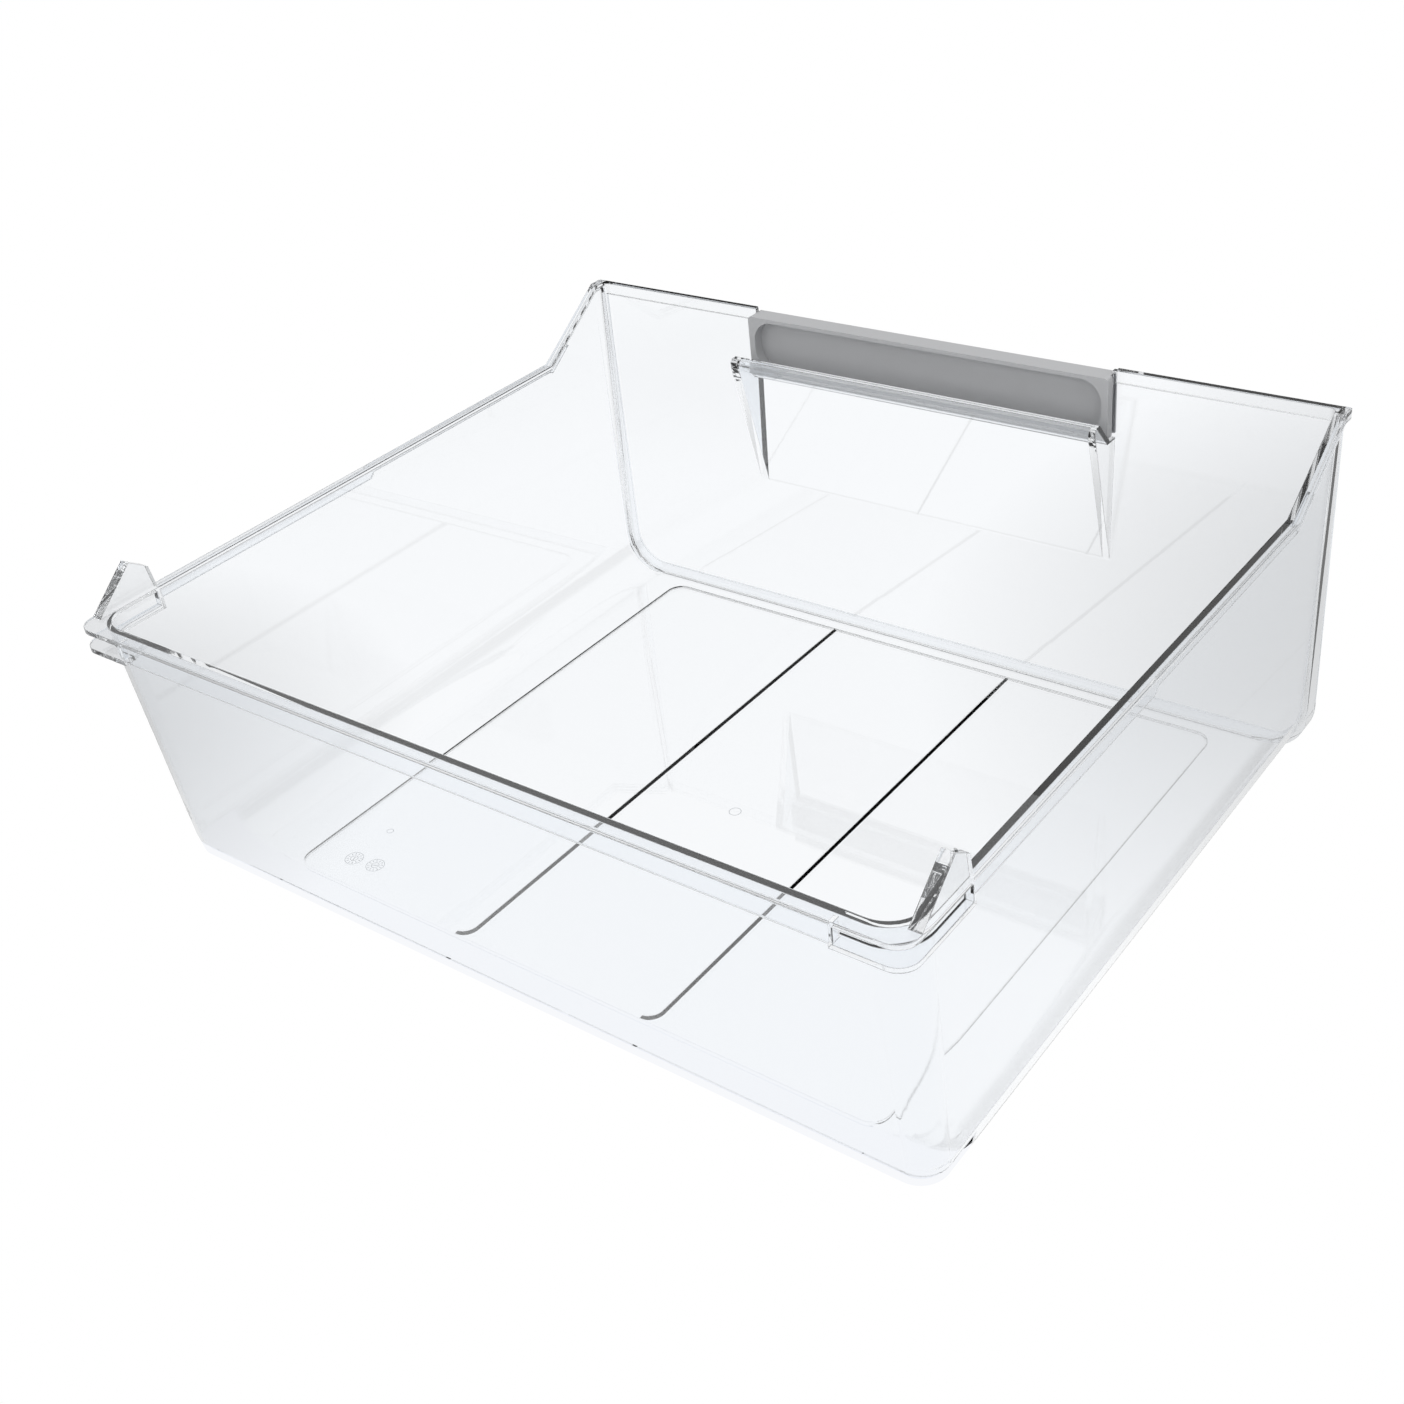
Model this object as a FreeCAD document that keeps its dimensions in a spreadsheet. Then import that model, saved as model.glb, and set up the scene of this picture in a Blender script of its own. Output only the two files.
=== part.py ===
import FreeCAD, Part
import math
import os
import re
import Sketcher

# Clear freezer drawer: one moulded tub, and a snap-in grip trim in the top edge of its front panel.
# Millimetres, Z up, front panel towards -Y. The origin is the centre of the footprint, on the underside.

Vector = FreeCAD.Vector
doc = FreeCAD.newDocument("freezer_drawer")
sheet = doc.addObject("Spreadsheet::Sheet", "sizes")

SIZES = [
    # overall
    ("overall_depth", 396.0, "front edge of the front panel to the rear edge of the rim"),
    ("front_width", 450.0, "width of the front panel"),
    ("front_height", 190.0, "top edge of the front panel over the underside"),
    ("rim_height", 157.4, "top of the side and rear rim over the underside"),
    ("wall", 2.4, "thickness of the walls and the floor"),
    # walls
    ("side_rim", 222.8, "middle plane to the inner side face at the rim"),
    ("side_fold", 221.0, "middle plane to the inner side face above the bend of its foot"),
    ("foot_round", 23.0, "inner radius of the bend between the floor and the side walls"),
    ("setback_top", 4.0, "front edge to the inner face of the front panel, at the top"),
    ("setback_fold", 11.6, "front edge to the inner face of the front panel, at the fold"),
    ("setback_floor", 12.5, "front edge to the front edge of the flat floor"),
    ("rear_rim", 5.0, "rear edge of the rim to the inner face of the rear wall, at the rim"),
    ("rear_fold", 22.4, "rear edge of the rim to the inner face of the rear wall, at the fold"),
    ("rear_floor", 50.0, "rear edge of the rim to the rear edge of the flat floor"),
    ("fold_rise", 14.2, "height of the fold at the foot of the rear wall over the floor, inside"),
    ("corner_radius", 19.0, "outer radius of the upright corners at the rear, at the rim"),
    ("fold_corner_radius", 13.0, "the same at the fold"),
    ("foot_corner_radius", 20.0, "the same at the floor"),
    ("front_corner_radius", 6.0, "outer radius of the upright corners at the front"),
    # floor
    ("field_drop", 0.7, "depth of the lowered field below the border of the floor"),
    ("field_half", 178.3, "middle plane to the side edge of the field"),
    ("field_front", 21.4, "front edge to the front edge of the field"),
    ("field_rear", 50.5, "rear edge of the rim to the rear edge of the field"),
    ("field_corner", 9.0, "radius of the corners of the field"),
    ("rib_offset", 57.8, "middle plane to the middle of the ribs on the floor"),
    ("rib_width", 2.8, "width of the ribs"),
    ("rib_height", 1.4, "height of the ribs"),
    ("rib_slope", -38.0, "angle from upright of the ribs' sides, in degrees, leaning inwards"),
    ("rib_hook", 7.0, "radius of the bend at the rear end of the ribs"),
    ("rib_gap", 0.4, "gap from the ribs' ends to the edges of the field"),
    # rim
    ("slope_start", 8.0, "front edge to the point where the side rim leaves the panel's top"),
    ("slope_end", 57.0, "front edge to the point where the side rim becomes level"),
    ("rim_reach", 3.4, "how far the side rim stands out over the wall"),
    ("rim_corner", 9.0, "radius of the rim's outer corners at the rear"),
    ("rim_thickness", 2.4, "thickness of the rim's flange"),
    ("skirt_wall", 1.8, "thickness of the down-turned edge of the rim"),
    ("skirt_front", 4.6, "height of the side rim's edge ahead of its step"),
    ("skirt_side", 7.6, "height of the side rim's edge behind its step"),
    ("skirt_rear", 10.6, "height of the rear rim's edge"),
    ("skirt_step", 203.0, "front edge to the step in the height of the side rim's edge"),
    # rear corner guides
    ("guide_width", 32.3, "length of the corner guides along the rear rim"),
    ("guide_length", 46.0, "rear edge of the rim to the front end of the corner guides"),
    ("guide_depth", 12.6, "top of the rim to the underside of the lower guide plate"),
    ("fin_rear_foot", 10.0, "rear edge of the rim to the rear foot of the fins"),
    ("fin_peak", 33.0, "rear edge of the rim to the peak of the fins"),
    ("fin_crest", 9.5, "length of the crest of the fins"),
    ("fin_rise", 19.3, "height of the peak of the fins over the rim"),
    ("fin_fall", 6.6, "fall of the crest towards the front"),
    ("fin_foot", 2.0, "how far the front foot of the fins stands ahead of the crest"),
    # front panel
    ("lip_wall", 2.6, "thickness of the lip round the front panel"),
    ("lip_depth", 12.0, "front edge to the rear edge of the side lips"),
    ("top_band", 7.0, "height of the solid band along the front panel's top edge"),
    ("panel_corner", 4.0, "radius of the front panel's top corners"),
    ("panel_foot_corner", 22.0, "radius of the front panel's foot corners"),
    # finger recess
    ("recess_half", 112.5, "middle plane to the outer side of the finger recess"),
    ("recess_foot", 85.5, "height of the foot of the finger recess"),
    ("recess_crest", 168.5, "height of the crest of the finger recess"),
    ("recess_depth", 28.0, "front edge to the inner face of the recess at its crest"),
    ("recess_cheek", 4.5, "thickness of the recess's cheeks"),
    ("bead", 5.0, "width of the bead along the crest"),
    ("bead_bevel", 1.6, "bevel of the bead's edge"),
    # grip trim
    ("trim_half", 110.6, "middle plane to the end of the grip trim"),
    ("trim_foot", 155.4, "height of the lower edge of the grip trim"),
    ("trim_drop", 1.8, "top edge of the front panel to the top of the grip trim"),
    ("trim_wall", 2.2, "thickness of the grip trim"),
    ("trim_depth", 11.0, "depth of the grip trim"),
    ("trim_groove", 1.4, "depth of the grooves in the trim's ends that take the panel's edges"),
    ("trim_scoop", 12.0, "corner radius of the hollow in the trim's back"),
    ("trim_hollow", 6.5, "depth of that hollow"),
    ("trim_fit", 0.25, "clearance between the grip trim and its seat"),
]
DERIVED = [
    ("rim_half", "side_rim + wall + rim_reach", "middle plane to the outer edge of the side rim"),
    ("fin_wall", "wall + rim_reach", "thickness of the stop fins, across the whole side rim"),
    ("guide_half", "rim_half - guide_width", "middle plane to the start of the corner guides"),
    ("bend_height", "field_drop + wall + foot_round", "height of the top of the foot's bend, inside"),
    ("foot_run", "(rear_floor - rear_fold) / fold_rise", "run of the sloped foot at the rear for its rise"),
    ("foot_slant", "sqrt(1 + foot_run * foot_run)", "sloped length of the same"),
]
NAMES = {entry[0] for entry in SIZES + DERIVED}

for row, (alias, value, meaning) in enumerate(SIZES + DERIVED, start=1):
    sheet.set("A%d" % row, str(value) if isinstance(value, float) else "=" + value)
    sheet.set("B%d" % row, meaning)
    sheet.setAlias("A%d" % row, alias)
doc.recompute()


def bound(expression):
    """The expression with the sheet's name in front of each of its sizes."""
    return re.sub(
        r"[a-z_]+", lambda m: "sizes." + m.group(0) if m.group(0) in NAMES else m.group(0), expression,
    )


def value_of(expression):
    return float(sheet.evalExpression(bound(expression)))


def from_front(expression):
    """Y of a distance behind the front edge."""
    return "(%s) - overall_depth / 2" % expression


def from_rear(expression):
    """Y of a distance ahead of the rear edge."""
    return "overall_depth / 2 - (%s)" % expression


def new_body(name):
    body = doc.addObject("PartDesign::Body", name)
    body.Label = name
    return body


def new_sketch(body, name, role, offset=None):
    """Sketch on one of the body's origin planes, moved along the plane's normal by a bound offset."""
    sketch = body.newObject("Sketcher::SketchObject", name)
    plane = [feature for feature in body.Origin.OriginFeatures if feature.Role == role][0]
    sketch.AttachmentSupport = (plane, [""])
    sketch.MapMode = "FlatFace"
    if offset is not None:
        sketch.AttachmentOffset = FreeCAD.Placement(Vector(0, 0, value_of(offset)), FreeCAD.Rotation())
        sketch.setExpression("AttachmentOffset.Base.z", bound(offset))
    return sketch


def bind_coordinate(sketch, kind, geometry, point, expression):
    """Ties one coordinate of a point to the sheet, measured from the sketch's origin."""
    value = value_of(expression)
    if value >= 0:
        index = sketch.addConstraint(Sketcher.Constraint(kind, -1, 1, geometry, point, value))
        sketch.setExpression("Constraints[%d]" % index, bound(expression))
    else:
        index = sketch.addConstraint(Sketcher.Constraint(kind, geometry, point, -1, 1, -value))
        sketch.setExpression("Constraints[%d]" % index, bound("-(%s)" % expression))


def polygon(sketch, corners):
    """Closed outline through corners given as pairs of expressions."""
    points = [Vector(value_of(x), value_of(y), 0) for x, y in corners]
    count = len(points)
    for i in range(count):
        sketch.addGeometry(Part.LineSegment(points[i], points[(i + 1) % count]), False)
    for i in range(count):
        sketch.addConstraint(Sketcher.Constraint("Coincident", i, 2, (i + 1) % count, 1))
    for i, (x, y) in enumerate(corners):
        bind_coordinate(sketch, "DistanceX", i, 1, x)
        bind_coordinate(sketch, "DistanceY", i, 1, y)


def rounded_box(sketch, left, right, low, high, radii):
    """Rectangle with four rounded corners; radii run from low left, anticlockwise."""
    x0, x1, y0, y1 = [value_of(edge) for edge in (left, right, low, high)]
    r = [value_of(radius) for radius in radii]
    first = sketch.GeometryCount
    lines = [
        (Vector(x0 + r[0], y0, 0), Vector(x1 - r[1], y0, 0)),
        (Vector(x1, y0 + r[1], 0), Vector(x1, y1 - r[2], 0)),
        (Vector(x1 - r[2], y1, 0), Vector(x0 + r[3], y1, 0)),
        (Vector(x0, y1 - r[3], 0), Vector(x0, y0 + r[0], 0)),
    ]
    for start, end in lines:
        sketch.addGeometry(Part.LineSegment(start, end), False)
    centres = [
        (Vector(x1 - r[1], y0 + r[1], 0), 1, -0.25),
        (Vector(x1 - r[2], y1 - r[2], 0), 2, 0.0),
        (Vector(x0 + r[3], y1 - r[3], 0), 3, 0.25),
        (Vector(x0 + r[0], y0 + r[0], 0), 0, 0.5),
    ]
    turn = 2 * math.pi
    for centre, corner, share in centres:
        circle = Part.Circle(centre, Vector(0, 0, 1), r[corner])
        sketch.addGeometry(Part.ArcOfCircle(circle, share * turn, (share + 0.25) * turn), False)
    for i in range(4):
        arc = first + 4 + i
        sketch.addConstraint(Sketcher.Constraint("Tangent", first + i, 2, arc, 1))
        sketch.addConstraint(Sketcher.Constraint("Tangent", arc, 2, first + (i + 1) % 4, 1))
        sketch.addConstraint(Sketcher.Constraint("Horizontal" if i % 2 == 0 else "Vertical", first + i))
        corner = centres[i][1]
        index = sketch.addConstraint(Sketcher.Constraint("Radius", arc, r[corner]))
        sketch.setExpression("Constraints[%d]" % index, bound(radii[corner]))
    bind_coordinate(sketch, "DistanceY", first, 1, low)
    bind_coordinate(sketch, "DistanceX", first + 1, 1, right)
    bind_coordinate(sketch, "DistanceY", first + 2, 1, high)
    bind_coordinate(sketch, "DistanceX", first + 3, 1, left)


def loft(body, kind, name, sections):
    feature = body.newObject("PartDesign::" + kind, name)
    feature.Profile = sections[0]
    feature.Sections = [(section, [""]) for section in sections[1:]]
    feature.Ruled = True
    return finish(body, feature)


def extrude(body, kind, name, sketch, length, symmetric=False, reverse=False, taper=None):
    """Pad or pocket of a sketch over a bound length; each has to change the body's volume."""
    before = body.Shape.Volume if body.Tip else 0.0
    feature = body.newObject("PartDesign::" + kind, name)
    feature.Profile = sketch
    feature.Type = "Length"
    feature.Length = value_of(length)
    feature.setExpression("Length", bound(length))
    feature.SideType = "Symmetric" if symmetric else "One side"
    feature.Reversed = reverse
    if taper is not None:
        feature.TaperAngle = value_of(taper)
        feature.setExpression("TaperAngle", bound(taper))
    finish(body, feature)
    change = feature.Shape.Volume - before
    if (kind == "Pad" and change <= 0) or (kind == "Pocket" and change >= 0):
        raise RuntimeError("%s changes nothing" % name)
    return feature


def finish(body, feature):
    doc.recompute()
    if "Invalid" in feature.State or "Error" in feature.State or not feature.Shape.isValid():
        raise RuntimeError("%s failed: %s" % (feature.Label, feature.State))
    return feature


def mirror_across_middle(body, name, features):
    """Copies features of one side to the other side of the middle plane."""
    before = body.Shape.Volume
    mirrored = body.newObject("PartDesign::Mirrored", name)
    mirrored.Originals = features
    plane = [feature for feature in body.Origin.OriginFeatures if feature.Role == "YZ_Plane"][0]
    mirrored.MirrorPlane = (plane, [""])
    body.Tip = mirrored
    finish(body, mirrored)
    if abs(mirrored.Shape.Volume - before) < 1.0:
        raise RuntimeError("%s changes nothing" % name)
    return mirrored


# Drawer tub

def tub_section(body, name, height, place, grow):
    """Level section of the tub; place holds its side, front, rear and rear corner, grown outwards by grow."""
    side, front, rear, corner = place
    sketch = new_sketch(body, name, "XY_Plane", height)
    edge = "(%s) + %s" % (side, grow)
    rear_radius = "(%s) - wall + %s" % (corner, grow)
    front_radius = "front_corner_radius - wall + %s" % grow
    rounded_box(
        sketch, "-(%s)" % edge, edge,
        from_front("(%s) - %s" % (front, grow)), from_rear("(%s) - %s" % (rear, grow)),
        [front_radius, front_radius, rear_radius, rear_radius],
    )
    return sketch


def tub_sections(body, name, floor, grow):
    """Sections from the floor up through the bend of the foot and the rear fold to the top."""
    bend = "(foot_round + %s)" % grow
    fold = "(fold_rise + %s - %s * (foot_slant - 1) / foot_run)" % (grow, grow)
    rises = ["0", "%s * 0.0761" % bend, "%s * 0.2929" % bend, fold, bend]
    sections = []
    for step, rise in enumerate(rises):
        reach = "sqrt(%s * %s - (%s - %s) * (%s - %s))" % (bend, bend, bend, rise, bend, rise)
        share = "(%s) / %s" % (rise, bend)
        if step < 4:
            rear = "rear_floor - (%s - %s) * foot_run - %s * (foot_slant - 1)" % (rise, grow, grow)
            corner = "foot_corner_radius + (fold_corner_radius - foot_corner_radius) * %s / %s" % (rise, fold)
        else:
            rear = "rear_fold + (rear_rim - rear_fold) * (%s - %s) / (front_height - (%s) - %s)" % (
                rise, fold, floor, fold)
            corner = "fold_corner_radius"
        place = (
            "side_fold - %s + %s" % (bend, reach),
            "setback_floor + (setback_fold - setback_floor) * %s" % share,
            rear,
            corner,
        )
        height = "%s + %s" % (floor, rise)
        sections.append(tub_section(body, "%s_foot_%d" % (name, step), height, place, grow))
    top = ("side_rim", "setback_top", "rear_rim", "corner_radius")
    sections.append(tub_section(body, name + "_top", "front_height", top, grow))
    return sections


def panel_at(height):
    """Distance from the front edge to the inner face of the front panel at a height above the bend."""
    return (
        "(setback_top + (setback_fold - setback_top)"
        " * (front_height - (%s)) / (front_height - bend_height))" % height
    )


def build_rim(body):
    """Block in the rim's plan, cut to the lower edge of its skirt and hollowed from below."""
    plan = new_sketch(body, "rim_plan", "XY_Plane", "rim_height - skirt_rear")
    rounded_box(
        plan, "-rim_half", "rim_half", from_front("0"), from_rear("0"),
        ["skirt_wall", "skirt_wall", "rim_corner", "rim_corner"],
    )
    extrude(body, "Pad", "rim", plan, "front_height - rim_height + skirt_rear")
    below = new_sketch(body, "below_skirt", "YZ_Plane")
    rear = from_rear("rim_corner + skirt_wall")
    polygon(below, [
        (rear, "rim_height - skirt_rear - 1"),
        (rear, "rim_height - skirt_side"),
        (from_front("skirt_step + skirt_side - skirt_front"), "rim_height - skirt_side"),
        (from_front("skirt_step"), "rim_height - skirt_front"),
        (from_front("slope_end"), "rim_height - skirt_front"),
        (from_front("slope_start"), "front_height - skirt_front"),
        (from_front("-1"), "front_height - skirt_front"),
        (from_front("-1"), "rim_height - skirt_rear - 1"),
    ])
    extrude(body, "Pocket", "below_skirt_cut", below, "3 * rim_half", symmetric=True)
    hollow = new_sketch(body, "rim_hollow_plan", "XY_Plane", "rim_height - rim_thickness")
    inner = "rim_half - skirt_wall"
    corner = "rim_corner - skirt_wall"
    rounded_box(
        hollow, "-(%s)" % inner, inner, from_front("slope_end"), from_rear("skirt_wall"),
        ["skirt_wall", "skirt_wall", corner, corner],
    )
    extrude(body, "Pocket", "rim_hollow", hollow, "skirt_rear")
    slope = new_sketch(body, "rim_slope_hollow", "YZ_Plane")
    polygon(slope, [
        (from_front("slope_end + rim_thickness"), "rim_height - rim_thickness"),
        (from_front("slope_end"), "rim_height - rim_thickness"),
        (from_front("slope_start"), "front_height - rim_thickness"),
        (from_front("-1"), "front_height - rim_thickness"),
        (from_front("-1"), "front_height - skirt_front - 1"),
        (from_front("slope_start"), "front_height - skirt_front - 1"),
        (from_front("slope_end + rim_thickness"), "rim_height - skirt_front - 1"),
    ])
    extrude(body, "Pocket", "rim_hollow_front", slope, "2 * rim_half - 2 * skirt_wall", symmetric=True)


def build_walls(body):
    """Outside of the tub: sloped foot below the fold, drafted walls above it."""
    sections = tub_sections(body, "outer", "field_drop", "wall")
    loft(body, "AdditiveLoft", "walls", sections)


def build_front_block(body):
    """Block the width of the front panel; its lips stay when the inside and the front are hollowed."""
    sketch = new_sketch(body, "front_outline", "XZ_Plane", "overall_depth / 2 - lip_depth")
    rounded_box(
        sketch, "-front_width / 2", "front_width / 2", "0", "front_height",
        ["panel_foot_corner", "panel_foot_corner", "panel_corner", "panel_corner"],
    )
    extrude(body, "Pad", "front_block", sketch, "lip_depth")


def build_front_lip(body):
    """Lip round the front panel, with the rounded foot corners of its outline."""
    sketch = new_sketch(body, "front_lip_outline", "XZ_Plane", "overall_depth / 2 - lip_depth")
    rounded_box(
        sketch, "-front_width / 2", "front_width / 2", "0", "front_height",
        ["panel_foot_corner", "panel_foot_corner", "panel_corner", "panel_corner"],
    )
    foot = "panel_foot_corner - lip_wall"
    top = "panel_corner - lip_wall"
    rounded_box(
        sketch, "lip_wall - front_width / 2", "front_width / 2 - lip_wall",
        "lip_wall", "front_height - lip_wall", [foot, foot, top, top],
    )
    extrude(body, "Pad", "front_lip", sketch, "lip_depth")


def cut_above_rim(body):
    """Removes what stands above the rim behind the front panel."""
    sketch = new_sketch(body, "above_rim", "YZ_Plane")
    polygon(sketch, [
        (from_rear("-20"), "rim_height"),
        (from_front("slope_end"), "rim_height"),
        (from_front("slope_start"), "front_height"),
        (from_front("slope_start"), "front_height + 20"),
        (from_rear("-20"), "front_height + 20"),
    ])
    extrude(body, "Pocket", "above_rim_cut", sketch, "4 * rim_half", symmetric=True)


def build_guides(body):
    """Slots at the rear corners, between the rim's flange and a lower plate."""
    slot = new_sketch(body, "guide_slot_plan", "XY_Plane", "rim_height - rim_thickness")
    outer = "rim_half + 1"
    rounded_box(
        slot, "guide_half", outer, from_rear("guide_length"), from_rear("-1"),
        ["skirt_wall", "skirt_wall", "skirt_wall", "skirt_wall"],
    )
    cut = extrude(body, "Pocket", "guide_slot", slot, "guide_depth")
    plate = new_sketch(body, "guide_plate_plan", "XY_Plane", "rim_height - guide_depth")
    rounded_box(
        plate, "guide_half", "rim_half", from_rear("guide_length"), from_rear("0"),
        ["skirt_wall", "skirt_wall", "rim_corner", "skirt_wall"],
    )
    pad = extrude(body, "Pad", "guide_plate", plate, "rim_thickness")
    cheek = new_sketch(body, "guide_cheek_plan", "XY_Plane", "rim_height - guide_depth")
    polygon(cheek, [
        ("guide_half", from_rear("rear_rim")),
        ("guide_half + skirt_wall", from_rear("rear_rim")),
        ("guide_half + skirt_wall", from_rear("0")),
        ("guide_half", from_rear("0")),
    ])
    web = extrude(body, "Pad", "guide_cheek", cheek, "guide_depth - rim_thickness / 2")
    end = new_sketch(body, "guide_end_plan", "XY_Plane", "rim_height - guide_depth")
    polygon(end, [
        ("side_rim", from_rear("guide_length")),
        ("rim_half", from_rear("guide_length")),
        ("rim_half", from_rear("guide_length - skirt_wall")),
        ("side_rim", from_rear("guide_length - skirt_wall")),
    ])
    stop = extrude(body, "Pad", "guide_end", end, "guide_depth - rim_thickness / 2")
    mirror_across_middle(body, "guides", [cut, pad, web, stop])


def hollow_tub(body):
    """Inside of the tub, one wall thickness inside the outer sections."""
    sections = tub_sections(body, "inner", "field_drop + wall", "0")
    loft(body, "SubtractiveLoft", "inside", sections)


def build_fins(body):
    """Upright stop fins on the rim, above the corner guides."""
    sketch = new_sketch(body, "fin_side_view", "YZ_Plane", "rim_half - fin_wall")
    base = "rim_height - rim_thickness / 2"
    polygon(sketch, [
        (from_rear("fin_rear_foot"), base),
        (from_rear("fin_rear_foot"), "rim_height"),
        (from_rear("fin_peak"), "rim_height + fin_rise"),
        (from_rear("fin_peak + fin_crest"), "rim_height + fin_rise - fin_fall"),
        (from_rear("fin_peak + fin_crest + fin_foot"), "rim_height"),
        (from_rear("fin_peak + fin_crest + fin_foot"), base),
    ])
    fin = extrude(body, "Pad", "fin", sketch, "fin_wall")
    mirror_across_middle(body, "fins", [fin])


def hollow_front(body):
    """Front of the panel, set back inside its lips, parallel to the panel's inner face."""
    sketch = new_sketch(body, "front_hollow", "YZ_Plane")
    polygon(sketch, [
        (from_front("-1"), "lip_wall"),
        (from_front("setback_floor - wall"), "lip_wall"),
        (from_front("setback_fold - wall"), "bend_height"),
        (from_front(panel_at("front_height - top_band") + " - wall"), "front_height - top_band"),
        (from_front("-1"), "front_height - top_band"),
    ])
    extrude(body, "Pocket", "front_hollow_cut", sketch, "front_width - 2 * lip_wall", symmetric=True)


def recess_outline(sketch, grow, front_low, front_high):
    """Wedge of the finger recess in side view, with its faces moved inwards by grow."""
    polygon(sketch, [
        (from_front(front_low), "recess_foot"),
        (from_front(panel_at("recess_foot") + " - %s" % grow), "recess_foot"),
        (from_front("recess_depth - %s" % grow), "recess_crest - bead - %s / 2" % grow),
        (from_front("recess_depth - %s" % grow), "recess_crest - bead_bevel - %s" % grow),
        (from_front("recess_depth - bead_bevel - %s" % grow), "recess_crest - %s" % grow),
        (from_front("recess_depth - bead"), "recess_crest - %s" % grow),
        (from_front("trim_depth + trim_fit"), "trim_foot - trim_fit - %s" % grow),
        (from_front(front_high), "trim_foot - trim_fit - %s" % grow),
    ])


def build_recess(body):
    """Finger recess: a hollow wedge behind the panel, open to the front below the grip trim."""
    outside = new_sketch(body, "recess_side_view", "YZ_Plane")
    low = panel_at("recess_foot") + " - wall / 2"
    high = panel_at("trim_foot") + " - wall / 2"
    recess_outline(outside, "0", low, high)
    extrude(body, "Pad", "recess", outside, "2 * recess_half", symmetric=True)
    inside = new_sketch(body, "recess_hollow", "YZ_Plane")
    recess_outline(inside, "wall", "-1", "-1")
    extrude(body, "Pocket", "recess_hollow_cut", inside, "2 * recess_half - 2 * recess_cheek", symmetric=True)


def cut_trim_seat(body):
    """Notch in the panel's top edge that takes the grip trim."""
    sketch = new_sketch(body, "trim_seat", "XZ_Plane", "overall_depth / 2 - trim_depth - trim_fit")
    half = "trim_half - trim_groove + trim_fit"
    polygon(sketch, [
        ("-(%s)" % half, "trim_foot - trim_fit"),
        (half, "trim_foot - trim_fit"),
        (half, "front_height + 1"),
        ("-(%s)" % half, "front_height + 1"),
    ])
    extrude(body, "Pocket", "trim_seat_cut", sketch, "trim_depth + trim_fit + 1", reverse=True)
    ends = new_sketch(body, "trim_lip_seat", "XZ_Plane", "overall_depth / 2 - setback_top + wall")
    wide = "trim_half + trim_fit"
    polygon(ends, [
        ("-(%s)" % wide, "trim_foot - trim_fit"),
        (wide, "trim_foot - trim_fit"),
        (wide, "front_height + 1"),
        ("-(%s)" % wide, "front_height + 1"),
    ])
    extrude(body, "Pocket", "trim_lip_seat_cut", ends, "setback_top + 1", reverse=True)


def build_field(body):
    """Lowered field of the floor: a low foot below and a shallow tray above it."""
    for kind, name, height, length in (
        ("Pad", "field_foot", "0", "field_drop + wall / 2"),
        ("Pocket", "field_tray", "field_drop + wall", "field_drop"),
    ):
        sketch = new_sketch(body, name + "_plan", "XY_Plane", height)
        rounded_box(sketch, "-field_half", "field_half", from_front("field_front"), from_rear("field_rear"),
                    ["field_corner", "field_corner", "field_corner", "field_corner"])
        extrude(body, kind, name, sketch, length)


def hooked_band(sketch, middle, low, high, radius, width):
    """Straight band along Y whose far end bends round by a quarter turn towards +X."""
    x, y0, y1, r, w = [value_of(size) for size in (middle, low, high, radius, width)]
    centre = Vector(x + r, y1 - r, 0)
    inner = Part.Circle(centre, Vector(0, 0, 1), r - w / 2)
    outer = Part.Circle(centre, Vector(0, 0, 1), r + w / 2)
    half = math.pi / 2
    first = sketch.GeometryCount
    near, side, bend, end, back, far_side = range(first, first + 6)
    sketch.addGeometry(Part.LineSegment(Vector(x - w / 2, y0, 0), Vector(x + w / 2, y0, 0)), False)
    sketch.addGeometry(Part.LineSegment(Vector(x + w / 2, y0, 0), Vector(x + w / 2, y1 - r, 0)), False)
    sketch.addGeometry(Part.ArcOfCircle(inner, half, 2 * half), False)
    sketch.addGeometry(Part.LineSegment(Vector(x + r, y1 - w / 2, 0), Vector(x + r, y1 + w / 2, 0)), False)
    sketch.addGeometry(Part.ArcOfCircle(outer, half, 2 * half), False)
    sketch.addGeometry(Part.LineSegment(Vector(x - w / 2, y1 - r, 0), Vector(x - w / 2, y0, 0)), False)
    joins = ((near, 2, side, 1), (side, 2, bend, 2), (bend, 1, end, 1), (end, 2, back, 1),
             (back, 2, far_side, 1), (far_side, 2, near, 1), (bend, 3, back, 3))
    for join in joins:
        sketch.addConstraint(Sketcher.Constraint("Coincident", *join))
    sketch.addConstraint(Sketcher.Constraint("Horizontal", near))
    for line in (side, end, far_side):
        sketch.addConstraint(Sketcher.Constraint("Vertical", line))
    sketch.addConstraint(Sketcher.Constraint("Horizontal", bend, 3, side, 2))
    sketch.addConstraint(Sketcher.Constraint("Horizontal", bend, 3, far_side, 1))
    sketch.addConstraint(Sketcher.Constraint("Vertical", bend, 3, end, 1))
    for arc, expression in ((bend, "%s - %s / 2" % (radius, width)), (back, "%s + %s / 2" % (radius, width))):
        index = sketch.addConstraint(Sketcher.Constraint("Radius", arc, value_of(expression)))
        sketch.setExpression("Constraints[%d]" % index, bound(expression))
    bind_coordinate(sketch, "DistanceY", near, 1, low)
    bind_coordinate(sketch, "DistanceX", bend, 3, "%s + %s" % (middle, radius))
    bind_coordinate(sketch, "DistanceY", bend, 3, "%s - (%s)" % (high, radius))


def build_ribs(body):
    """Two low rounded ribs along the field, each with a short bend at its rear end."""
    sketch = new_sketch(body, "rib_plan", "XY_Plane", "wall")
    low = from_front("field_front + rib_gap")
    high = from_rear("field_rear + rib_gap + rib_width / 2")
    hooked_band(sketch, "-rib_offset", low, high, "rib_hook", "rib_width")
    hooked_band(sketch, "rib_offset", low, high, "rib_hook", "rib_width")
    extrude(body, "Pad", "ribs", sketch, "rib_height", taper="rib_slope")


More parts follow.
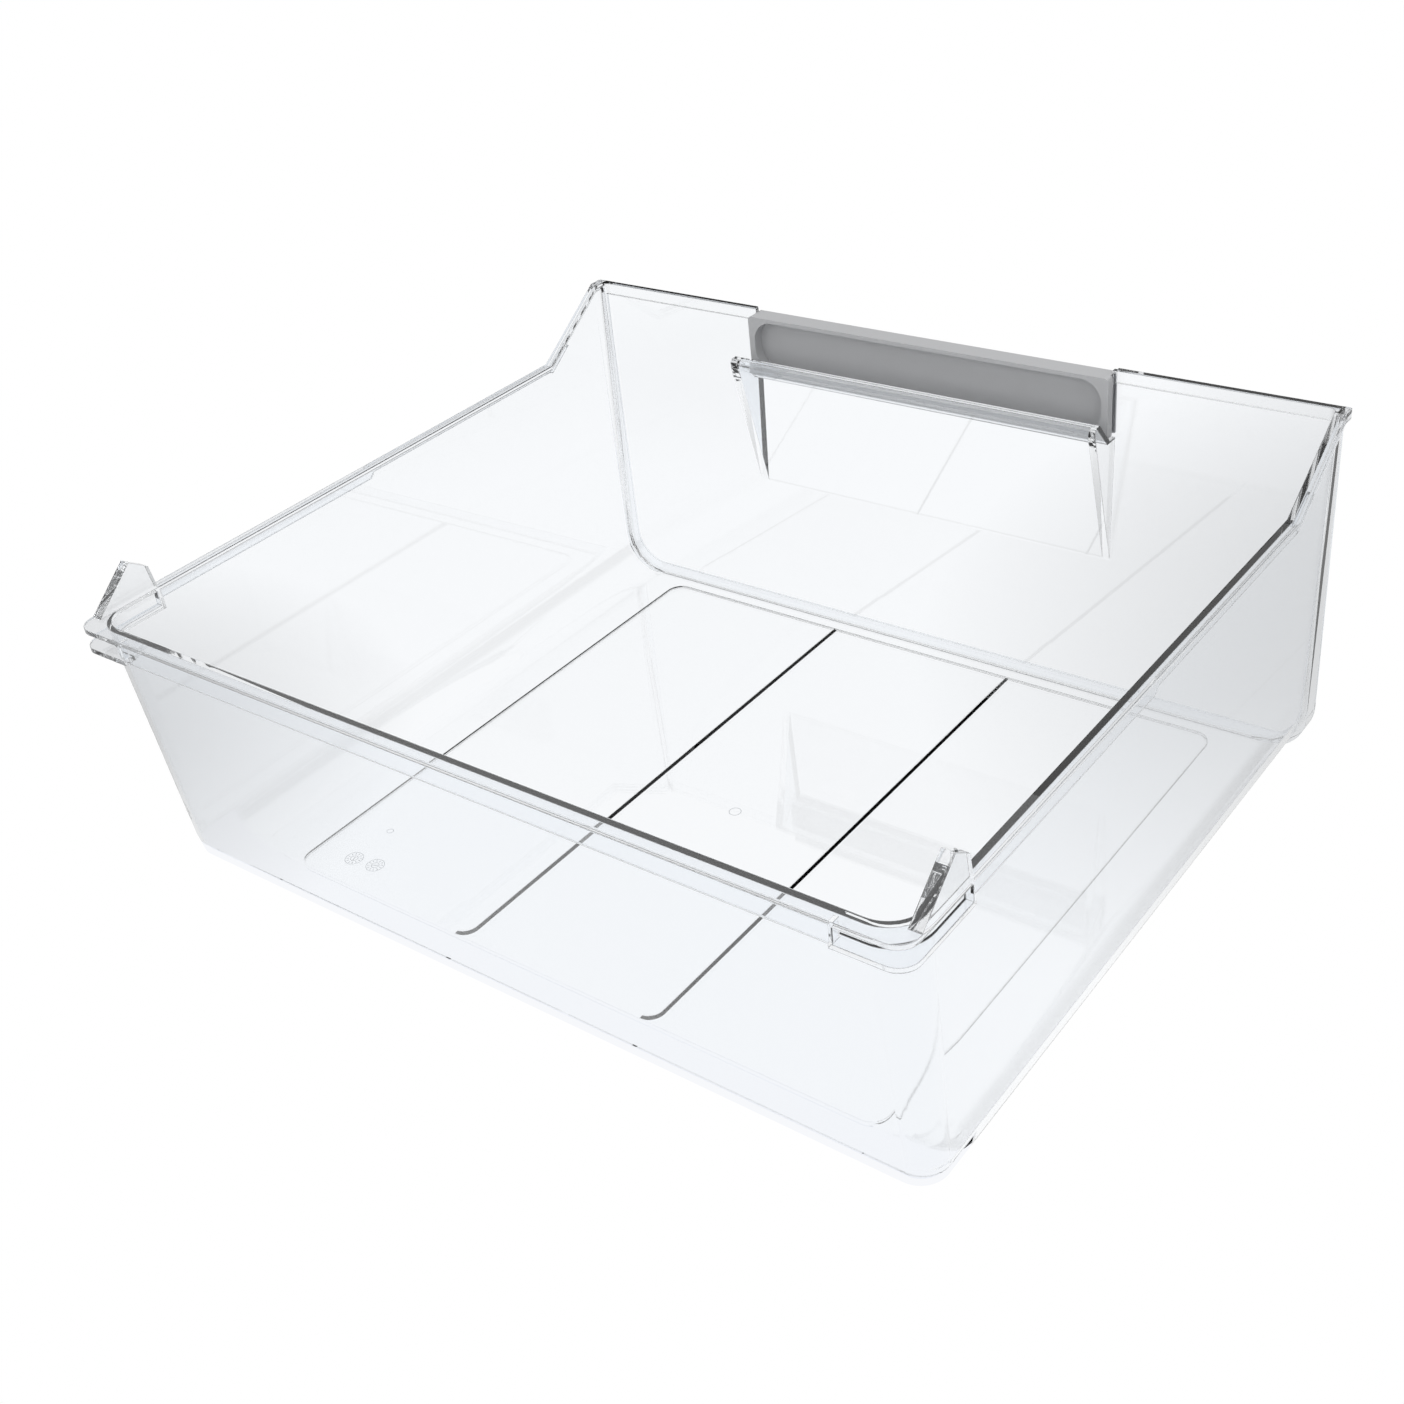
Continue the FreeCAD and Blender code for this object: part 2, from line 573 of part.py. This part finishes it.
def make_tub():
    body = new_body("drawer_tub")
    build_rim(body)
    build_guides(body)
    build_walls(body)
    build_front_block(body)
    hollow_front(body)
    build_front_lip(body)
    cut_above_rim(body)
    hollow_tub(body)
    build_fins(body)
    build_recess(body)
    cut_trim_seat(body)
    build_field(body)
    build_ribs(body)
    return body


# Grip trim

def make_trim():
    """Grip trim: a shallow tray, open to the inside, whose grooved ends slide over the notch's edges."""
    body = new_body("handle_trim")
    outline = new_sketch(body, "trim_outline", "XZ_Plane", "overall_depth / 2 - trim_depth")
    top = "front_height - trim_drop"
    rounded_box(outline, "-trim_half", "trim_half", "trim_foot", top,
                ["trim_fit", "trim_fit", "trim_wall", "trim_wall"])
    extrude(body, "Pad", "trim_block", outline, "trim_depth")
    hollow = new_sketch(body, "trim_hollow_view", "XZ_Plane", "overall_depth / 2 - trim_depth")
    side = "trim_half - trim_groove - trim_wall"
    rounded_box(hollow, "-(%s)" % side, side, "trim_foot + trim_wall", "%s - trim_wall" % top,
                ["trim_scoop", "trim_scoop", "trim_scoop", "trim_scoop"])
    extrude(body, "Pocket", "trim_hollow_cut", hollow, "trim_hollow", reverse=True)
    groove = new_sketch(body, "trim_groove_view", "YZ_Plane", "trim_half - trim_groove")
    polygon(groove, [
        (from_front("setback_top - wall - trim_fit"), "front_height"),
        (from_front("setback_top - wall - trim_fit"), "trim_foot - 1"),
        (from_front(panel_at("trim_foot") + " + trim_fit"), "trim_foot - 1"),
        (from_front(panel_at("trim_foot") + " + trim_fit"), "front_height"),
    ])
    cut = extrude(body, "Pocket", "trim_end_groove", groove, "2 * trim_groove", reverse=True)
    mirror_across_middle(body, "trim_end_grooves", [cut])
    return body


parts = [make_tub(), make_trim()]
doc.recompute()

for item in doc.Objects:
    if "Invalid" in item.State or "Error" in item.State:
        raise RuntimeError("%s: %s" % (item.Label, item.State))
for part in parts:
    if part.Shape.isNull() or not part.Shape.isValid() or len(part.Shape.Solids) != 1:
        raise RuntimeError("%s is not one sound solid" % part.Label)

os.makedirs("parts", exist_ok=True)
for part in parts:
    part.Shape.exportStep("parts/%s.step" % part.Label)
    box = part.Shape.BoundBox
    print("%s: %.1f x %.1f x %.1f mm, %.1f cm3" % (
        part.Label, box.XLength, box.YLength, box.ZLength, part.Shape.Volume / 1000))
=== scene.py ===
import math

import bpy
from mathutils import Matrix, Vector


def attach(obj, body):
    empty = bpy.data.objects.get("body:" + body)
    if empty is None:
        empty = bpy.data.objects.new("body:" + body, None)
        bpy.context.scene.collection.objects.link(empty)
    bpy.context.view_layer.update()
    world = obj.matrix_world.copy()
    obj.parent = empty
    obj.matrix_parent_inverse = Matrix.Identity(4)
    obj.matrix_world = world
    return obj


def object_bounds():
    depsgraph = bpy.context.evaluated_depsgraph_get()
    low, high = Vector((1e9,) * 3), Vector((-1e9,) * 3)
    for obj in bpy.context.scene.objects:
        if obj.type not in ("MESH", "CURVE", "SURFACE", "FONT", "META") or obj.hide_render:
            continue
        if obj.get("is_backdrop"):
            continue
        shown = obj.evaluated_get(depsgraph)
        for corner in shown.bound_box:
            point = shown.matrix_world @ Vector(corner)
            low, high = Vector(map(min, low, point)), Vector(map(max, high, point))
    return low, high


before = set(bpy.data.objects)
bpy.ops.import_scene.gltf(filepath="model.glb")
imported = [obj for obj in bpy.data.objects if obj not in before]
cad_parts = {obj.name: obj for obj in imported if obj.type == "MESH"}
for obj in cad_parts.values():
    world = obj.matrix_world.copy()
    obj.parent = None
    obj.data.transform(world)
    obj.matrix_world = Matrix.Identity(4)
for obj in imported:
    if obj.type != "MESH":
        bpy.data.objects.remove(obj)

# Clear freezer drawer with a grey grip trim. Metres, Z up, front panel towards -Y.


def write_size(kind, earlier=()):
    """Returns the earlier lines with the box of everything shown added below them as one plain line."""
    lines = [*earlier, "%s %s" % (kind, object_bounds())]
    return lines


size_lines = write_size("loaded")

scene = bpy.context.scene
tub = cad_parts["drawer_tub"]
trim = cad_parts["handle_trim"]


# Exact normals for the rounds of the tub, in place of those of its triangles

WALL = 0.0024
BEND_SIDE = 0.198
BEND_TOP = 0.0261
BEND_RADIUS = 0.023
PANEL_TOP = 0.190
CORNER_FOOT = Vector((0.2104, 0.165887))
CORNER_HEAD = Vector((0.2062, 0.1764))
CORNER_FOOT_RADIUS = 0.0106
CORNER_HEAD_RADIUS = 0.0166
ON_FACE = 0.0001
FACING = 0.9


def on_wall(depth):
    """Whether a point this far outside the inner face of a round lies on its inner or outer face."""
    return min(abs(depth), abs(depth - WALL)) < ON_FACE


def corner_normal(spot):
    """Outward normal of the conical corners at the rear, or None off their faces."""
    rise = PANEL_TOP - BEND_TOP
    shift = CORNER_HEAD - CORNER_FOOT
    growth = CORNER_HEAD_RADIUS - CORNER_FOOT_RADIUS
    share = (spot.z - BEND_TOP) / rise
    away = Vector((abs(spot.x), spot.y)) - CORNER_FOOT - shift * share
    if min(away) < -ON_FACE or not on_wall(away.length - CORNER_FOOT_RADIUS - growth * share):
        return None
    away.normalize()
    across = math.copysign(away.x, spot.x) * rise
    return Vector((across, away.y * rise, -shift.dot(away) - growth)).normalized()


def bend_normal(spot):
    """Outward normal of the bends between the floor and the side walls, or None off their faces."""
    away = Vector((abs(spot.x) - BEND_SIDE, spot.z - BEND_TOP))
    if away.x < -ON_FACE or away.y > ON_FACE or not on_wall(away.length - BEND_RADIUS):
        return None
    away.normalize()
    return Vector((math.copysign(away.x, spot.x), 0.0, away.y))


def use_exact_normals(mesh):
    """Sets them on every face of the rounds; the other faces keep what they have."""
    normals = [corner.vector.copy() for corner in mesh.corner_normals]
    for face in mesh.polygons:
        spots = [mesh.vertices[index].co for index in face.vertices]
        if min(spot.z for spot in spots) > BEND_TOP - ON_FACE:
            exact = [corner_normal(spot) for spot in spots]
        else:
            exact = [bend_normal(spot) for spot in spots]
            if None in exact:
                continue
            face.use_smooth = True
        for loop, normal in zip(face.loop_indices, exact):
            if normal is None:
                continue
            if normal.dot(face.normal) < 0:
                normal.negate()
            if normal.dot(face.normal) > FACING:
                normals[loop] = normal
    mesh.normals_split_custom_set(normals)


use_exact_normals(tub.data)


# Materials

WHITE = (1.0, 1.0, 1.0, 1.0)
CLEAR_TINT = (0.942, 0.957, 0.975, 1.0)
CLEAR_IOR = 1.57
EDGE_ROUND = 0.0006
EDGE_SAMPLES = 6
FOOT_TINT = (0.964, 0.970, 0.984, 1.0)
FOOT_FRONT = 0.148
FOOT_TOP = 0.022
FOOT_SPARE = 0.0032
FIN_FRONT = 0.10
FIN_FOOT = 0.1572
FIN_HAZE = 0.08
GREY_COLOR = (0.52, 0.525, 0.536, 1.0)
GREY_ROUGHNESS = 0.32
# Grey of the marks: painted shade standing in for the refraction at the edges of the clear moulded relief
RELIEF_SHADE_COLOR = (0.50, 0.53, 0.56, 1.0)
MARK_ROUGHNESS = 0.4
SOLID_IOR = 1.5


def new_material(name, color, roughness, ior):
    material = bpy.data.materials.new(name)
    material.use_nodes = True
    shader = material.node_tree.nodes["Principled BSDF"]
    shader.inputs["Base Color"].default_value = color
    shader.inputs["Roughness"].default_value = roughness
    shader.inputs["IOR"].default_value = ior
    return material, shader


def calculate(tree, operation, *values):
    """Math node; each value is a socket or a number."""
    node = tree.nodes.new("ShaderNodeMath")
    node.operation = operation
    for socket, value in zip(node.inputs, values):
        if isinstance(value, (int, float)):
            socket.default_value = value
        else:
            tree.links.new(value, socket)
    return node.outputs["Value"]


def round_edges(tree, shader):
    """Rounds the edges in the shading only."""
    edge = tree.nodes.new("ShaderNodeBevel")
    edge.samples = EDGE_SAMPLES
    edge.inputs["Radius"].default_value = EDGE_ROUND
    tree.links.new(edge.outputs["Normal"], shader.inputs["Normal"])


def thin_foot(tree, shader, along, height):
    """Lets the sloped foot at the rear only tint what lies behind it, without bending it."""
    # A ray that enters the foot has to leave it in the foot too, so its front limit lies
    # further forward for the faces that are met from inside.
    face = tree.nodes.new("ShaderNodeNewGeometry")
    spare = calculate(tree, "MULTIPLY", face.outputs["Backfacing"], FOOT_SPARE)
    behind = calculate(tree, "GREATER_THAN", calculate(tree, "ADD", along, spare), FOOT_FRONT)
    low = calculate(tree, "LESS_THAN", height, FOOT_TOP)
    tint = tree.nodes.new("ShaderNodeBsdfTransparent")
    tint.inputs["Color"].default_value = FOOT_TINT
    blend = tree.nodes.new("ShaderNodeMixShader")
    tree.links.new(calculate(tree, "MULTIPLY", behind, low), blend.inputs["Fac"])
    tree.links.new(shader.outputs["BSDF"], blend.inputs[1])
    tree.links.new(tint.outputs["BSDF"], blend.inputs[2])
    tree.links.new(blend.outputs["Shader"], tree.nodes["Material Output"].inputs["Surface"])


def haze_fins(tree, shader, along, height):
    """Makes the stop fins a little less clear than the rest."""
    above = calculate(tree, "GREATER_THAN", height, FIN_FOOT)
    rear = calculate(tree, "GREATER_THAN", along, FIN_FRONT)
    fins = calculate(tree, "MULTIPLY", above, rear)
    clearness = calculate(tree, "MULTIPLY_ADD", fins, -FIN_HAZE, 1.0)
    tree.links.new(clearness, shader.inputs["Transmission Weight"])


def make_clear_plastic():
    material, shader = new_material("clear_plastic", CLEAR_TINT, 0.0, CLEAR_IOR)
    tree = material.node_tree
    place = tree.nodes.new("ShaderNodeTexCoord")
    split = tree.nodes.new("ShaderNodeSeparateXYZ")
    tree.links.new(place.outputs["Object"], split.inputs["Vector"])
    round_edges(tree, shader)
    thin_foot(tree, shader, split.outputs["Y"], split.outputs["Z"])
    haze_fins(tree, shader, split.outputs["Y"], split.outputs["Z"])
    return material


clear = make_clear_plastic()
grey, _ = new_material("grey_plastic", GREY_COLOR, GREY_ROUGHNESS, SOLID_IOR)
mark, _ = new_material("painted_relief_shade", RELIEF_SHADE_COLOR, MARK_ROUGHNESS, SOLID_IOR)

for node, material in ((tub, clear), (trim, grey)):
    node.data.materials.clear()
    node.data.materials.append(material)


# Marks moulded into the floor: two plain date dials, a small ring and the ring left by the gate, drawn as
# flat grey lines of painted shade for the edges of their clear relief

FLOOR = 0.0024
LIFT = 0.00005
LINE = 0.0003
STROKE = 0.0004
DIALS = (((0.1536, 0.1300), 1.9), ((0.1394, 0.1286), 0.4))
DIAL_RIM = 0.0047
DIAL_HUB = 0.0019
DIAL_TICKS = 12
TICK = (0.0030, 0.0043)
POINTER = (-0.0014, 0.0018)
SMALL_RING = ((0.1537, 0.1036), 0.0016, 32)
GATE = ((0.0030, 0.0011), 0.0030)


def ring_faces(vertices, faces, centre, inner, steps=48):
    """Flat ring, one line wide."""
    start = len(vertices)
    for step in range(steps):
        angle = 2 * math.pi * step / steps
        for radius in (inner, inner + LINE):
            vertices.append((
                centre[0] + radius * math.cos(angle),
                centre[1] + radius * math.sin(angle),
                FLOOR + LIFT,
            ))
    for step in range(steps):
        here = start + 2 * step
        ahead = start + 2 * ((step + 1) % steps)
        faces.append((here, here + 1, ahead + 1, ahead))


def stroke_face(vertices, faces, centre, angle, near, far):
    """Straight stroke along a radius of a dial."""
    start = len(vertices)
    along = Vector((math.cos(angle), math.sin(angle)))
    across = Vector((-along.y, along.x)) * STROKE / 2
    for reach, side in ((near, -1), (far, -1), (far, 1), (near, 1)):
        spot = Vector(centre) + along * reach + across * side
        vertices.append((spot.x, spot.y, FLOOR + LIFT))
    faces.append((start, start + 1, start + 2, start + 3))


def mark_piece(name, vertices, faces):
    mesh = bpy.data.meshes.new(name)
    mesh.from_pydata(vertices, [], faces)
    mesh.materials.append(mark)
    piece = bpy.data.objects.new(name, mesh)
    scene.collection.objects.link(piece)
    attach(piece, "root")


def make_date_dials():
    vertices = []
    faces = []
    for centre, turn in DIALS:
        ring_faces(vertices, faces, centre, DIAL_RIM)
        ring_faces(vertices, faces, centre, DIAL_HUB)
        for tick in range(DIAL_TICKS):
            stroke_face(vertices, faces, centre, 2 * math.pi * tick / DIAL_TICKS, *TICK)
        stroke_face(vertices, faces, centre, turn, *POINTER)
    ring_faces(vertices, faces, *SMALL_RING)
    mark_piece("date_dials", vertices, faces)


def make_gate_ring():
    vertices = []
    faces = []
    ring_faces(vertices, faces, *GATE)
    mark_piece("gate_ring", vertices, faces)


make_date_dials()
make_gate_ring()


# Table: white, with painted shade that makes it a little greyer at two places when it is seen through the
# plastic

TABLE_RADIUS = 2.6
TABLE_CENTRE = (0.3, -0.5, -0.0005)
# centre, radius of the full painted shade, radius where it ends, level
PAINTED_SHADE_SPOTS = (
    ((-0.40, -0.40, 0.0), 0.22, 0.46, 0.70),
    ((0.42, 0.20, 0.0), 0.075, 0.27, 0.66),
)


def fading_spot(tree, position, centre, near, far, level):
    """Level inside the near radius, rising to 1 at the far one."""
    reach = tree.nodes.new("ShaderNodeVectorMath")
    reach.operation = "DISTANCE"
    reach.inputs[1].default_value = centre
    tree.links.new(position, reach.inputs[0])
    shade = tree.nodes.new("ShaderNodeMapRange")
    shade.inputs["From Min"].default_value = near
    shade.inputs["From Max"].default_value = far
    shade.inputs["To Min"].default_value = level
    tree.links.new(reach.outputs["Value"], shade.inputs["Value"])
    return shade.outputs["Result"]


def make_table_material():
    material = bpy.data.materials.new("white_table")
    material.use_nodes = True
    tree = material.node_tree
    tree.nodes.clear()
    place = tree.nodes.new("ShaderNodeNewGeometry")
    levels = [fading_spot(tree, place.outputs["Position"], *spot) for spot in PAINTED_SHADE_SPOTS]
    path = tree.nodes.new("ShaderNodeLightPath")
    # painted shade on the table, met only by rays through the plastic; camera rays see plain white
    seen = calculate(tree, "MULTIPLY", *levels)
    strength = calculate(tree, "MAXIMUM", seen, path.outputs["Is Camera Ray"])
    glow = tree.nodes.new("ShaderNodeEmission")
    glow.inputs["Color"].default_value = WHITE
    tree.links.new(strength, glow.inputs["Strength"])
    output = tree.nodes.new("ShaderNodeOutputMaterial")
    tree.links.new(glow.outputs["Emission"], output.inputs["Surface"])
    return material


def make_table():
    bpy.ops.mesh.primitive_circle_add(
        vertices=128, radius=TABLE_RADIUS, fill_type="NGON", location=TABLE_CENTRE,
    )
    table = bpy.context.object
    table.name = "table"
    table.data.materials.append(make_table_material())
    table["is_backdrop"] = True


make_table()


# World: white behind the table and for matt surfaces, and a studio with a dark band for gloss and refraction

# height from straight down at 0 to straight up at 1, and level
STUDIO = ((0.42, 1.0), (0.50, 0.03), (0.66, 0.03), (0.74, 0.9), (1.0, 1.0))


def studio_ramp(tree):
    """Grey level by the height of the direction."""
    direction = tree.nodes.new("ShaderNodeTexCoord")
    split = tree.nodes.new("ShaderNodeSeparateXYZ")
    tree.links.new(direction.outputs["Generated"], split.inputs["Vector"])
    ramp = tree.nodes.new("ShaderNodeValToRGB")
    height = calculate(tree, "MULTIPLY_ADD", split.outputs["Z"], 0.5, 0.5)
    tree.links.new(height, ramp.inputs["Fac"])
    stops = ramp.color_ramp.elements
    for index, (place, level) in enumerate(STUDIO):
        stop = stops[index] if index < 2 else stops.new(place)
        stop.position = place
        stop.color = (level, level, level, 1.0)
    return ramp.outputs["Color"]


def make_world():
    world = bpy.data.worlds.new("studio")
    scene.world = world
    world.use_nodes = True
    tree = world.node_tree
    tree.nodes.clear()
    studio = tree.nodes.new("ShaderNodeBackground")
    tree.links.new(studio_ramp(tree), studio.inputs["Color"])
    paper = tree.nodes.new("ShaderNodeBackground")
    paper.inputs["Color"].default_value = WHITE
    for node in (studio, paper):
        node.inputs["Strength"].default_value = 1.0
    path = tree.nodes.new("ShaderNodeLightPath")
    plain = calculate(tree, "MAXIMUM", path.outputs["Is Camera Ray"], path.outputs["Is Diffuse Ray"])
    mix = tree.nodes.new("ShaderNodeMixShader")
    tree.links.new(plain, mix.inputs["Fac"])
    tree.links.new(studio.outputs["Background"], mix.inputs[1])
    tree.links.new(paper.outputs["Background"], mix.inputs[2])
    output = tree.nodes.new("ShaderNodeOutputWorld")
    tree.links.new(mix.outputs["Shader"], output.inputs["Surface"])


make_world()


# Camera: behind the drawer and above its corner at -X, slightly rolled, looking down into it

SENSOR_WIDTH = 36.0
LENS = 45.98
CLIP_START = 0.01
CAMERA_PLACE = Vector((-0.479484, 0.578260, 0.555373))
CAMERA_RIGHT = Vector((-0.79492, -0.59838, -0.10020))
CAMERA_UP = Vector((0.25954, -0.48467, 0.83530))


def make_camera():
    data = bpy.data.cameras.new("camera")
    data.sensor_width = SENSOR_WIDTH
    data.lens = LENS
    data.clip_start = CLIP_START
    camera = bpy.data.objects.new("camera", data)
    scene.collection.objects.link(camera)
    axes = Matrix((CAMERA_RIGHT, CAMERA_UP, CAMERA_RIGHT.cross(CAMERA_UP))).transposed()
    camera.matrix_world = Matrix.Translation(CAMERA_PLACE) @ axes.to_4x4()
    scene.camera = camera


make_camera()


# Render: enough bounces for rays that cross many walls

WALL_BOUNCES = 40
GLOSSY_BOUNCES = 12
THIN_BOUNCES = 16

scene.view_settings.view_transform = "Standard"
scene.render.engine = "CYCLES"
scene.cycles.max_bounces = WALL_BOUNCES
scene.cycles.transmission_bounces = WALL_BOUNCES
scene.cycles.glossy_bounces = GLOSSY_BOUNCES
scene.cycles.transparent_max_bounces = THIN_BOUNCES
scene.cycles.caustics_refractive = True
scene.cycles.caustics_reflective = True

write_size("finished", size_lines)
